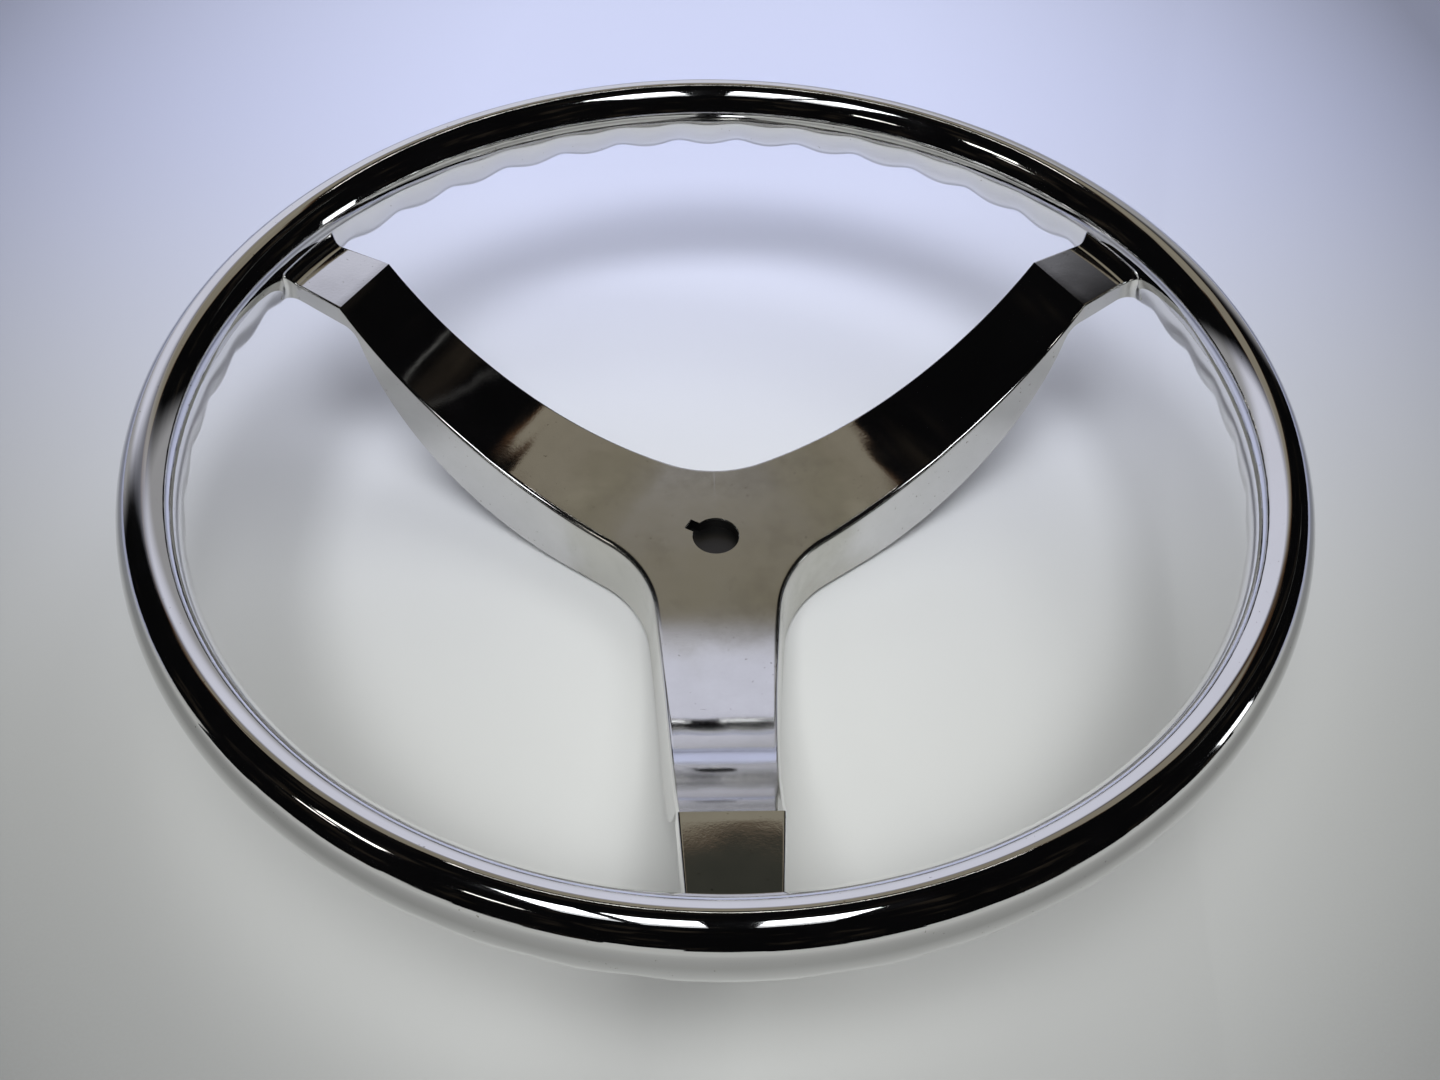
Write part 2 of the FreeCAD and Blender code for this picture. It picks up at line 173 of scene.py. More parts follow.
# %% Sizes of the side view
HUB_HEIGHT = 27.1
HUB_FLAT = 31.9
RIM_INSIDE = WHEEL_DIAMETER / 2 - RIM_WIDTH
CREASE = np.array([RIM_INSIDE - 26.45, 84.7])
ROOT_LEVEL = 86.1
ROOT_SUNK = 2.2
SKIRT_LIFT = 2.4
SKIRT_START = 50.0
SKIRT_END = CREASE - np.array([6.8, 13.0])
DEPTH_AT_CREASE = 7.2
DEPTH_AT_RIM = 6.2
KNEE_ROUND = 8.0
TOP_WALL = 5.0


def level_start_round(run, rise):
    """Radius of a round that starts level and passes a point a run out and a rise up."""
    return (run ** 2 + rise ** 2) / rise / 2


TOP_ROUND = level_start_round(CREASE[0] - HUB_FLAT, CREASE[1] - HUB_HEIGHT)
SKIRT_ROUND = level_start_round(SKIRT_END[0] - SKIRT_START, SKIRT_END[1] - SKIRT_LIFT)
OUTER_SLOPE = (ROOT_LEVEL - CREASE[1]) / (RIM_INSIDE + ROOT_SUNK - CREASE[0])
OUTER_NORMAL = unit(np.array([-OUTER_SLOPE, 1.0]))
UNDER_CREASE = CREASE - np.array([0.0, DEPTH_AT_CREASE])
UNDER_RIM = np.array([RIM_RADIUS, ROOT_LEVEL - DEPTH_AT_RIM])
UNDER_SLOPE = (UNDER_RIM[1] - UNDER_CREASE[1]) / (UNDER_RIM[0] - UNDER_CREASE[0])
print("hollow round above %.1f mm, round below %.1f mm" % (TOP_ROUND, SKIRT_ROUND))

# %% [markdown]
# ## Where the rounds touch
# A small round, the knee, joins the skirt's edge to the thin outer part. Another one blends the
# spoke up to the tube, and its size differs from spoke to spoke. Both have to touch their
# neighbours, so their centres are worked out and not placed by eye.

# %% Knee and blend
BLEND_SIZES = np.arange(1.0, 14.1, 0.25)
HALVINGS = 40


def knee_middle():
    """Centre of the small round that joins the skirt's edge to the thin outer part."""
    middle = np.array([SKIRT_START, SKIRT_LIFT + SKIRT_ROUND])
    down = unit(np.array([UNDER_SLOPE, -1.0]))
    along = unit(np.array([1.0, UNDER_SLOPE]))
    start = UNDER_CREASE + down * KNEE_ROUND - middle
    ahead = start @ along
    reach = SKIRT_ROUND + KNEE_ROUND
    return middle + start + along * (math.sqrt(ahead ** 2 - start @ start + reach ** 2) - ahead)


def rim_blend(radius):
    """Hollow round that touches a spoke's outer top and the rim's oval: centre, start and end."""
    low, high = math.pi / 2, math.pi
    for _ in range(HALVINGS):
        turn = (low + high) / 2
        on_oval = np.array([RIM_WIDTH / 2 * math.cos(turn), RIM_HEIGHT / 2 * math.sin(turn)])
        at = on_oval + np.array([RIM_RADIUS, RIM_LEVEL])
        centre = at + radius * unit(np.array([math.cos(turn) / RIM_WIDTH, math.sin(turn) / RIM_HEIGHT]))
        if (centre - CREASE) @ OUTER_NORMAL > radius:
            low = turn
        else:
            high = turn
    return (centre[0], centre[1], centre[0] - radius * OUTER_NORMAL[0], at[0])


KNEE = knee_middle()
KNEE_IN = KNEE[0] - KNEE_ROUND * (KNEE[0] - SKIRT_START) / (SKIRT_ROUND + KNEE_ROUND)
KNEE_OUT = KNEE[0] - KNEE_ROUND * unit(np.array([UNDER_SLOPE, -1.0]))[0]
BLENDS = np.array([rim_blend(radius) for radius in BLEND_SIZES])
print("a blend of 8 mm starts %.1f mm from the axis" % np.interp(8, BLEND_SIZES, BLENDS[:, 2]))

# %% [markdown]
# ## Levels of a spoke
# Three formulas give the level of the top, of the hollow's ceiling and of the skirt's lower edge
# at a distance x along the spoke and y to its side. The blend is smaller beside the spoke than
# in its middle. It is sunk a little, so that it meets the top in a fine line, as ground metal does.

# %% Level formulas
EDGE_BLEND = 2.5
BLEND_EASES = (13.0, 19.0)
BLEND_SUNK = 0.07
RUN_IN_SLOPE = 3.0


def hollow_round(x, start, level, radius):
    """Level of a round that rises from a start; flat before it."""
    return level + radius - np.sqrt(np.maximum(radius ** 2 - (np.maximum(x, start) - start) ** 2, 0))


def eased(value, start, end):
    """0 before start and 1 after end, with a soft way between."""
    t = np.clip((value - start) / (end - start), 0, 1)
    return t * t * (3 - 2 * t)


def top_level(x, y, blend):
    """Level of a spoke's top, with the blend up to the rim."""
    radius = blend + (EDGE_BLEND - blend) * eased(np.abs(y), *BLEND_EASES)
    middle_x, middle_z, start, end = (np.interp(radius, BLEND_SIZES, c) for c in BLENDS.T)
    curve = hollow_round(x, HUB_FLAT, HUB_HEIGHT, TOP_ROUND)
    outer = CREASE[1] + OUTER_SLOPE * (x - CREASE[0])
    reach = np.clip(x, start, end) - middle_x
    rise = middle_z - np.sqrt(np.maximum(radius ** 2 - reach ** 2, 0))
    rise = rise + RUN_IN_SLOPE * np.maximum(x - end, 0)
    rise = np.maximum(outer, rise - BLEND_SUNK * radius)
    return np.where(x < CREASE[0], curve, np.where(x < start, outer, rise))


def ceiling_level(x, y):
    """Level of the ceiling of the hollow under a spoke, the same all across."""
    return hollow_round(x, HUB_FLAT, HUB_HEIGHT - TOP_WALL, TOP_ROUND + TOP_WALL)


def low_level(x, y):
    """Level of a spoke's lower edge, the same all across."""
    curve = hollow_round(x, SKIRT_START, SKIRT_LIFT, SKIRT_ROUND)
    reach = np.clip(x - KNEE[0], -KNEE_ROUND, KNEE_ROUND)
    knee = KNEE[1] + np.sqrt(KNEE_ROUND ** 2 - reach ** 2)
    outer = UNDER_CREASE[1] + UNDER_SLOPE * (x - UNDER_CREASE[0])
    return np.where(x < KNEE_IN, curve, np.where(x < KNEE_OUT, knee, outer))


half_way = CREASE[0] / 2
print("half way to the crease a spoke is %.1f mm deep" % (top_level(half_way, 0, 8) - low_level(half_way, 0)))

# %% [markdown]
# ## The casting, seen from above
# A gap between two spokes is bounded by a round at the hub, the long hollow sides of the spokes
# and a flare at the rim. A casting's walls lean, so that it leaves the mould: higher up the
# outline moves in along its own normal. That keeps all its rounds true. The photograph shows that
# each spoke was ground by hand: the crease sits a little further in or out, and the flares on the
# camera's side are wider than the far ones. So each side of a spoke has its own few numbers.

# %% Sizes of the outline
LEAN = math.tan(math.radians(5.07))
FORK_ROUND = 41.0
SIDE_ROUND = 716.0
CREASE_WIDTH = 30.0
ROOT_WIDTH = 27.0
FLARE_SEAT = 0.4
CREASE_SIDE = CREASE_WIDTH / 2 + LEAN * CREASE[1]
ROOT_SIDE = ROOT_WIDTH / 2 + LEAN * ROOT_LEVEL
FLARE_AT = RIM_INSIDE + FLARE_SEAT - LEAN * ROOT_LEVEL
NEAR_SIDE = {"reach": 35.4, "flare": 4.5, "edge": 2.4}
FAR_SIDE = {"reach": 36.1, "flare": 3.0, "edge": 1.0}
STRAIGHT_SIDE = {"reach": 35.4, "flare": 2.5, "edge": 2.4}
WIDE_SIDE = dict(NEAR_SIDE, flare=6.0)
SPOKES = (
    {"angle": 270.0, "crease_out": -1.7, "blend": 2.5, "left": STRAIGHT_SIDE, "right": STRAIGHT_SIDE},
    {"angle": 30.0, "crease_out": 1.6, "blend": 8.0, "left": FAR_SIDE, "right": WIDE_SIDE},
    {"angle": 150.0, "crease_out": 0.9, "blend": 8.0, "left": NEAR_SIDE, "right": FAR_SIDE},
)
print("a spoke is %.1f mm wide below the crease" % (2 * CREASE_SIDE))

# %% [markdown]
# ## Outline of half a spoke
# The outline is worked out at the level of the hub's lower face, from the fork between two spokes
# out to the flare. With each place goes the way into the casting, because the leaning wall
# follows it upward. The points are close together, and the mesh takes only some of them.

# %% Outline helpers
HALF_FORK = math.radians(60)
RUN_STEPS = 400
SIDE_STEPS = 1500
FLARE_END = -0.02
SETTLE_ROUNDS = 12


def crossing(one, one_reach, other, other_reach):
    """The upper of two places at given reaches from two centres."""
    apart = other - one
    span = np.linalg.norm(apart)
    along = (one_reach ** 2 - other_reach ** 2 + span ** 2) / (2 * span)
    off = math.sqrt(one_reach ** 2 - along ** 2)
    ahead = apart / span
    return one + ahead * along + np.array([-ahead[1], ahead[0]]) * off


def round_run(centre, radius, start, end, count):
    """Points of a round and the way from its centre to each."""
    angles = np.linspace(start, end, count)
    ways = np.stack([np.cos(angles), np.sin(angles)], -1)
    return centre + radius * ways, ways


def angle_of(v):
    return math.atan2(v[1], v[0])


def half_outline(reach, flare_round):
    """Places on one side of a spoke at the hub's lower face, with the way into the casting."""
    fork = np.array([math.cos(HALF_FORK), math.sin(HALF_FORK)]) * (reach + FORK_ROUND)
    crease = np.array([CREASE[0], CREASE_SIDE])
    root = np.array([FLARE_AT, ROOT_SIDE])
    side = crossing(fork, SIDE_ROUND - FORK_ROUND, crease, SIDE_ROUND)
    meet = angle_of(fork - side)
    hub_run = round_run(fork, FORK_ROUND, HALF_FORK - math.pi, meet, RUN_STEPS)
    side_run = round_run(side, SIDE_ROUND, meet, angle_of(crease - side), SIDE_STEPS)
    outward = unit(root - crease)
    inward = np.array([outward[1], -outward[0]])
    foot_round = flare_round - LEAN * ROOT_LEVEL
    flare = crease - inward * foot_round
    flare = flare + outward * ((FLARE_AT - foot_round - flare[0]) / outward[0])
    straight = np.linspace(crease, flare + inward * foot_round, RUN_STEPS)
    straight_run = (straight, np.repeat(inward[None], RUN_STEPS, 0))
    flare_run = round_run(flare, foot_round, angle_of(inward), FLARE_END, RUN_STEPS)
    runs = (hub_run, side_run, straight_run, flare_run)
    return np.concatenate([r[0] for r in runs]), np.concatenate([r[1] for r in runs])


def on_wall(places, ways, level_of, inset=0.0):
    """Where the leaning wall meets a surface given by its level."""
    level = np.zeros(len(places))
    for _ in range(SETTLE_ROUNDS):
        shifted = places + ways * (LEAN * level + inset)[:, None]
        level = level_of(shifted[:, 0], shifted[:, 1])
    return np.concatenate([shifted, level[:, None]], 1)


sample = half_outline(NEAR_SIDE["reach"], NEAR_SIDE["flare"])[0]
first_out, last_out = sample[[0, -1], 0]
print("half an outline: %d places from %.1f to %.1f mm" % (len(sample), first_out, last_out))

# %% [markdown]
# ## Rounded upper edges
# The polisher broke the casting's upper edges with a belt, more near the hub than at the rim.
# A Bevel modifier could do it, but it would also round the crease. So at each station the round
# is a true arc between the wall's slope and the top surface.

# %% Edge rounds
EDGE_AT_RIM = 0.7
EDGE_STEPS = 8
EDGE_SHRINKS_FROM = 30.0
SLOPE_STEP = 0.01
JUST_INSIDE = 0.02


def edge_rounds(top, ways, blend, near_hub):
    """For each station the points of the round, from the top surface over to the wall."""
    along = np.gradient(top, axis=0)
    along[0] = (math.sin(HALF_FORK), -math.cos(HALF_FORK), 0)
    along = unit(along)
    x, y = top[:, 0] - JUST_INSIDE, top[:, 1]
    slope_x = (top_level(x, y, blend) - top_level(x - SLOPE_STEP, y, blend)) / SLOPE_STEP
    slope_y = (top_level(x, y, blend) - top_level(x, y - SLOPE_STEP, blend)) / SLOPE_STEP
    face = unit(np.stack([-slope_x, -slope_y, np.ones_like(x)], -1))
    across = unit(np.cross(face, along))
    across *= np.where((across[:, :2] * ways).sum(1) < 0, -1, 1)[:, None]
    down = -unit(np.concatenate([ways * LEAN, np.ones((len(top), 1))], 1))
    half = np.arccos(np.clip((across * down).sum(1), -1, 1)) / 2
    share = np.clip((top[:, 0] - EDGE_SHRINKS_FROM) / (CREASE[0] - EDGE_SHRINKS_FROM), 0, 1)
    radius = near_hub + (EDGE_AT_RIM - near_hub) * share
    centre = top + unit(across + down) * (radius / np.sin(half))[:, None]
    start = top + across * (radius / np.tan(half))[:, None]
    end = top + down * (radius / np.tan(half))[:, None]
    first, last = start - centre, end - centre
    angle = np.pi - 2 * half
    rounds = []
    for index in range(EDGE_STEPS + 1):
        t = index / EDGE_STEPS
        one = (np.sin((1 - t) * angle) / np.sin(angle))[:, None]
        other = (np.sin(t * angle) / np.sin(angle))[:, None]
        rounds.append(centre + first * one + last * other)
    return np.stack(rounds, 1)


print("edge rounds from %.1f mm near the hub to %.1f mm at the rim" % (NEAR_SIDE["edge"], EDGE_AT_RIM))

# %% [markdown]
# ## Walls and top of a spoke
# The stations stand closer near the hub, where the outline curves most, and in the tail, where
# the spoke runs up to the tube. Each half of a spoke gives its skin from the edge down, its lower
# edge and the inner wall of its hollow. The top is a grid between the two edges.

# %% Half a spoke and its top
FINE_UNTIL = 60.0
FINE_POWER = 1.4
HOLLOW_END = CREASE[0] - 13.5
TAIL_START = 164.0
TAIL_STEPS = 24
RUN_ON = 6.0
SIDE_WALL = 4.2
PAST_BLEND = 0.4
WALL_SHARES = np.array([0.0, 0.02, 0.2, 0.4, 0.6, 0.8, 1.0])
COLUMN_TURNS = np.radians(np.concatenate([[-60, -59.6], np.arange(-57.5, 58, 2.5), [59.6, 60]]))
COLUMN_SHARES = np.tan(COLUMN_TURNS) / math.tan(math.radians(60))
TAIL = np.sin(np.linspace(0, 0.5, TAIL_STEPS) * np.pi)[1:]


def run_on(grid):
    """Adds a last row that runs on into the rim."""
    return np.concatenate([grid, grid[-1:] + np.array([RUN_ON, 0, 0])], 0)


def stations(first, last):
    """Distances from the axis at which a half spoke is cut into rows."""
    return np.concatenate(
        [
            first + (FINE_UNTIL - first) * np.linspace(0, 1, 40) ** FINE_POWER,
            np.linspace(FINE_UNTIL, HOLLOW_END, 56)[1:],
            np.linspace(HOLLOW_END, CREASE[0], 12)[1:],
            np.linspace(CREASE[0], TAIL_START, 9)[1:],
            TAIL_START + (last - TAIL_START) * TAIL,
        ]
    )


def half_spoke(blend, reach, flare, edge):
    """One side of a spoke: its skin from the top edge down, and its inner wall."""
    dense_places, dense_ways = half_outline(reach, flare)
    dense_top = on_wall(dense_places, dense_ways, lambda x, y: top_level(x, y, blend))[:, 0]
    marks = stations(dense_top[0], dense_top[-1])
    places = np.stack([np.interp(marks, dense_top, dense_places[:, i]) for i in (0, 1)], -1)
    ways = unit(np.stack([np.interp(marks, dense_top, dense_ways[:, i]) for i in (0, 1)], -1))
    top = on_wall(places, ways, lambda x, y: top_level(x, y, blend))
    low = on_wall(places, ways, low_level)
    rounds = edge_rounds(top, ways, blend, edge)
    wall = rounds[:, -1:] + (low - rounds[:, -1])[:, None] * WALL_SHARES[None, :, None]
    hollow = np.flatnonzero(marks <= HOLLOW_END + 0.01)
    inner_low = on_wall(places[hollow], ways[hollow], low_level, SIDE_WALL)
    inner_top = on_wall(places[hollow], ways[hollow], ceiling_level, SIDE_WALL)
    skin = run_on(np.concatenate([rounds, wall[:, 1:]], 1))
    return {"skin": skin, "low": run_on(low), "inner_low": inner_low, "inner_top": inner_top}


def spoke_top(left, right, blend):
    """The top surface, row by row between the two edges."""
    ends = {1: left["skin"][:, 0], -1: right["skin"][:, 0] * np.array([1, -1, 1])}
    end_x = np.interp(blend, BLEND_SIZES, BLENDS[:, 3]) + PAST_BLEND
    middle = (ends[1][:, 0] + ends[-1][:, 0]) / 2
    middle[-TAIL_STEPS:-1] = TAIL_START + (end_x - TAIL_START) * TAIL
    middle[-1] = end_x + RUN_ON
    columns = []
    for share in COLUMN_SHARES:
        edge = ends[1 if share > 0 else -1]
        x = middle + (edge[:, 0] - middle) * share ** 2
        y = edge[:, 1] * abs(share)
        z = top_level(x, y, blend) + (edge[:, 2] - top_level(edge[:, 0], edge[:, 1], blend)) * share ** 4
        z[-1] = z[-2]
        columns.append(np.stack([x, y, z], -1))
    return np.stack(columns, 1)


print("a top has %d columns, closest at its edges" % len(COLUMN_SHARES))

# %% [markdown]
# ## Ground by hand, and turned into place
# The spokes are first laid along the x axis. Grinding then moves the crease in or out, and the
# root bends to follow the ring and its oval. All this fades in softly along the spoke. Last, the
# spoke turns to its own angle round the axis.

# %% Grinding and turning
CREASE_SHIFTS_FROM = 95.0
ROOT_BENDS = (158.0, 176.0)
OVAL_BENDS = (170.0, 177.0)
INNER_STEPS = 5


def ground(points, crease_out):
    """The crease moved in or out, and the root bent to the rim's curve and its oval."""
    x, y, z = np.moveaxis(np.array(points, dtype=float), -1, 0)
    drop = np.clip(RIM_LEVEL - z, 0, RIM_HEIGHT / 2 - 1) / (RIM_HEIGHT / 2)
    x = x + RIM_WIDTH / 2 * (1 - np.sqrt(1 - drop ** 2)) * eased(x, *OVAL_BENDS)
    near_crease = eased(x, CREASE_SHIFTS_FROM, CREASE[0]) * (1 - eased(x, CREASE[0], ROOT_BENDS[1]))
    x = x + crease_out * near_crease
    bent = np.sqrt(np.maximum(x ** 2 - y ** 2, 0))
    x = x + (bent - x) * eased(x, *ROOT_BENDS)
    return np.stack([x, y, z], -1)


def turned(points, degrees):
    """The points turned round the wheel's axis."""
    angle = math.radians(degrees)
    c, s = math.cos(angle), math.sin(angle)
    x, y = points[..., 0], points[..., 1]
    return np.stack([c * x - s * y, s * x + c * y, points[..., 2]], -1)


def spoke_grids(spoke):
    """All surfaces of a spoke along the x axis, its first row, and its ceiling's first place."""
    left = half_spoke(spoke["blend"], **spoke["left"])
    right = half_spoke(spoke["blend"], **spoke["right"])
    top = spoke_top(left, right, spoke["blend"])
    other = {name: grid * np.array([1, -1, 1]) for name, grid in right.items()}
    count = len(left["inner_low"])
    share = np.linspace(0, 1, INNER_STEPS)[None, :, None]
    grids = [left["skin"], other["skin"], top]
    for half in (left, other):
        grids.append(half["inner_low"][:, None] + (half["inner_top"] - half["inner_low"])[:, None] * share)
        grids.append(np.stack([half["low"][:count], half["inner_low"]], 1))
    grids.append(np.stack([left["inner_top"], other["inner_top"]], 1))
    grids.append(np.stack([left["low"][count - 1:], other["low"][count - 1:]], 1))
    ends = [np.stack([half["inner_low"][-1], half["inner_top"][-1]]) for half in (left, other)]
    grids.append(np.stack(ends, 1))
    return grids, top[0], left["inner_top"][0]


points = []
faces = []


def add_grid(grid, wrap_columns=False):
    """Keeps a grid's points, and its faces under the numbers that those points get."""
    start = sum(len(part) for part in points)
    faces.extend(quads(start, *grid.shape[:2], False, wrap_columns))
    points.append(grid.reshape(-1, 3))


hub_rows = []
hub_turns = []
hub_ceiling = []
for spoke in SPOKES:
    grids, first_row, ceiling_start = spoke_grids(spoke)
    for grid in grids:
        add_grid(turned(ground(grid, spoke["crease_out"]), spoke["angle"]))
    hub_rows.append(turned(first_row, spoke["angle"])[:-1])
    hub_turns.append(COLUMN_TURNS[:-1] + math.radians(spoke["angle"]))
    hub_ceiling.append(turned(ceiling_start, spoke["angle"]))
print("three spokes: %d faces so far" % len(faces))

# %% [markdown]
# ## Hub, bore and boss
# The hub's bore is a taper for the helm's shaft, wider below, with a square keyway that points
# at the left spoke. Under the hub a round boss stands proud of the skirt and carries the wheel.
# A boolean could cut the bore, but it would leave long thin faces on the polished hub. Instead
# the hub is rings: from the spokes' inner rows to the bore's mouth, down the bore and up the boss.

# %% Hub, bore and boss
BORE_TOP = 8.4
BORE_LOW = 9.525
BORE_BEVEL = 0.4
BORE_LIP = 0.15
LOW_BEVEL = 0.5
KEY_HALF = 2.38
KEY_REACH = 11.8
KEY_ANGLE = 150.0
BOSS_RADIUS = 23.0
BOSS_BEVEL = 0.6
CORNER_DEGREES = 35.0
BORE_LEVELS = (
    (HUB_HEIGHT, BORE_BEVEL + BORE_LIP),
    (HUB_HEIGHT, BORE_BEVEL),
    (HUB_HEIGHT - BORE_BEVEL, 0.0),
    (HUB_HEIGHT / 2, 0.0),
    (LOW_BEVEL, 0.0),
    (0.0, LOW_BEVEL),
)
BOSS_RINGS = (
    (BOSS_RADIUS - BOSS_BEVEL, 0.0),
    (BOSS_RADIUS, BOSS_BEVEL),
    (BOSS_RADIUS, HUB_HEIGHT - TOP_WALL),
)


def from_key(turns):
    """Angles counted from the middle of the keyway, between minus and plus half a turn."""
    return (turns - math.radians(KEY_ANGLE) + np.pi) % (2 * np.pi) - np.pi


def bore_ring(turns, level, grow):
    """The bore's outline with its keyway, at angles round the axis (radians)."""
    radius = BORE_LOW + (BORE_TOP - BORE_LOW) * level / HUB_HEIGHT
    off = np.abs(from_key(turns))
    notch = np.minimum(KEY_REACH / np.cos(off), KEY_HALF / np.maximum(np.sin(off), 1e-6))
    reach = np.where(off < math.asin(KEY_HALF / radius), np.maximum(notch, radius), radius) + grow
    return np.stack([reach * np.cos(turns), reach * np.sin(turns), np.full_like(turns, level)], -1)


turns = np.concatenate(hub_turns)
off = from_key(turns)
for corner in (math.asin(KEY_HALF / BORE_TOP), math.atan(KEY_HALF / KEY_REACH)):
    for sign in (-1, 1):
        nearest = np.argmin(np.abs(off - sign * corner))
        turns[nearest] += sign * corner - off[nearest]
circle = np.stack([np.cos(turns), np.sin(turns), np.zeros_like(turns)], -1)
rings = [np.concatenate(hub_rows)]
rings += [bore_ring(turns, level, grow) for level, grow in BORE_LEVELS]
rings += [circle * radius + np.array([0, 0, level]) for radius, level in BOSS_RINGS]
add_grid(np.stack(rings), True)
ceiling_from = sum(len(part) for part in points)
faces.append((ceiling_from, ceiling_from + 1, ceiling_from + 2))
points.append(np.stack(hub_ceiling))
casting = new_piece("polished_casting", np.concatenate(points), faces, CORNER_DEGREES)

# %% [markdown]
# ## Painting with nodes
# A material is a tree of nodes. Every value in it is a plain number, a node's first output, or a
# named output of a node, so one helper feeds any of these into a socket. The others make the few
# kinds of nodes that the finishes need: noise, a change of range, arithmetic and mixed colours.

# %% Node helpers
def node(tree, kind, **settings):
    """A new node; a setting goes to the socket of that name, or else to the node itself."""
    made = tree.nodes.new(kind)
    for name, value in settings.items():
        if name in made.inputs:
            made.inputs[name].default_value = value
        else:
            setattr(made, name, value)
    return made


def feed(tree, target, socket, term):
    """Puts a plain value, a node or a (node, output) pair into a socket."""
    if isinstance(term, bpy.types.Node):
        term = (term, "Result" if term.bl_idname == "ShaderNodeMix" else 0)
    if isinstance(term, tuple) and isinstance(term[0], bpy.types.Node):
        tree.links.new(term[0].outputs[term[1]], target.inputs[socket])
    else:
        target.inputs[socket].default_value = term


def noise(tree, where, scale, detail=3.0, rough=0.5):
    made = node(tree, "ShaderNodeTexNoise", Scale=scale, Detail=detail, Roughness=rough)
    feed(tree, made, "Vector", where)
    return made


def ranged(tree, term, low, high, to_low, to_high, smooth=False):
    """The term's value between low and high, carried over to another range."""
    made = node(tree, "ShaderNodeMapRange")
    if smooth:
        made.interpolation_type = "SMOOTHSTEP"
    values = {"From Min": low, "From Max": high, "To Min": to_low, "To Max": to_high, "Value": term}
    for socket, value in values.items():
        feed(tree, made, socket, value)
    return made


def worked(tree, operation, *terms):
    """A number worked out from one or two others."""
    made = node(tree, "ShaderNodeMath", operation=operation)
    for index, term in enumerate(terms):
        feed(tree, made, index, term)
    return made


def plus(tree, one, other):
    return worked(tree, "ADD", one, other)


def times(tree, one, other):
    return worked(tree, "MULTIPLY", one, other)


def mixed(tree, factor, one, other, blend="MIX"):
    """A colour between two colours, by a factor; a colour is four numbers or a node."""
    made = node(tree, "ShaderNodeMix", data_type="RGBA", blend_type=blend)
    for socket, term in (("Factor", factor), ("A", one), ("B", other)):
        feed(tree, made, socket, term)
    return made


def split(tree, place):
    """The x, y and z of a place, as three (node, output) pairs."""
    parts = node(tree, "ShaderNodeSeparateXYZ")
    feed(tree, parts, 0, place)
    return (parts, "X"), (parts, "Y"), (parts, "Z")


def raised(tree, distance, strength, height, under=None):
    """A bump, laid over another bump if one is given."""
    made = node(tree, "ShaderNodeBump", Strength=strength, Distance=distance)
    feed(tree, made, "Height", height)
    if under is not None:
        feed(tree, made, "Normal", under)
    return made


# %% [markdown]
# ## Polished stainless
# Both pieces are bare metal, so they start from the same shader with Metallic at 1. Their detail
# is placed by the distance from the wheel's axis, the direction round it and the height, because
# that is how a tube is drawn and a hub is machined.

# %% Bare metal
def metal(name):
    material = bpy.data.materials.new(name)
    material.use_nodes = True
    tree = material.node_tree
    shader = tree.nodes["Principled BSDF"]
    shader.inputs["Metallic"].default_value = 1.0
    place = (node(tree, "ShaderNodeTexCoord"), "Object")
    return material, tree, shader, place


def axis_places(tree, place):
    """Distance from the wheel's axis, direction round it (radians) and height."""
    x, y, z = split(tree, place)
    reach = worked(tree, "SQRT", plus(tree, times(tree, x, x), times(tree, y, y)))
    return reach, worked(tree, "ARCTAN2", y, x), z


def speckle(tree, place, scale, low, high):
    """Small scattered spots: 1 in a spot and 0 elsewhere."""
    return ranged(tree, noise(tree, place, scale, 2.0, 0.6), low, high, 0.0, 1.0)


# %% [markdown]
# ## Finish of the rim
# Stainless tube takes a mirror polish. What stays are hairlines that run along the tube, a few
# pits and a slightly cloudy sheen. The hairlines are noise that is squeezed along the tube, and
# they act on the roughness and on a very small bump, so that they show only in highlights.

# %% Rim finish
TUBE_DULL = (0.66, 0.655, 0.645, 1)
TUBE_BRIGHT = (0.75, 0.745, 0.735, 1)
TUBE_PIT = (0.30, 0.28, 0.25, 1)
HAIRLINE_STRETCH = 0.004
HAIRLINE_DEPTH = 0.00004

rim_metal, tree, shader, place = metal("mirror polished tube")
reach, round_way, height = axis_places(tree, place)
stretched = node(tree, "ShaderNodeCombineXYZ")
for socket, term in enumerate((reach, times(tree, round_way, HAIRLINE_STRETCH), height)):
    feed(tree, stretched, socket, term)
hairlines = noise(tree, stretched, 1500.0, 2.0, 0.7)
base = mixed(tree, noise(tree, place, 35.0, 4.0), TUBE_DULL, TUBE_BRIGHT)
base = mixed(tree, speckle(tree, place, 620.0, 0.72, 0.76), base, TUBE_PIT)
feed(tree, shader, "Base Color", base)
cloud = ranged(tree, noise(tree, place, 60.0, 5.0, 0.6), 0.35, 0.75, 0.02, 0.075)
fine = ranged(tree, hairlines, 0.55, 0.75, 0.0, 0.05)
feed(tree, shader, "Roughness", plus(tree, cloud, fine))
feed(tree, shader, "Normal", raised(tree, HAIRLINE_DEPTH, 0.12, hairlines))
rim.data.materials.append(rim_metal)
print("rim finish: %d nodes" % len(tree.nodes))
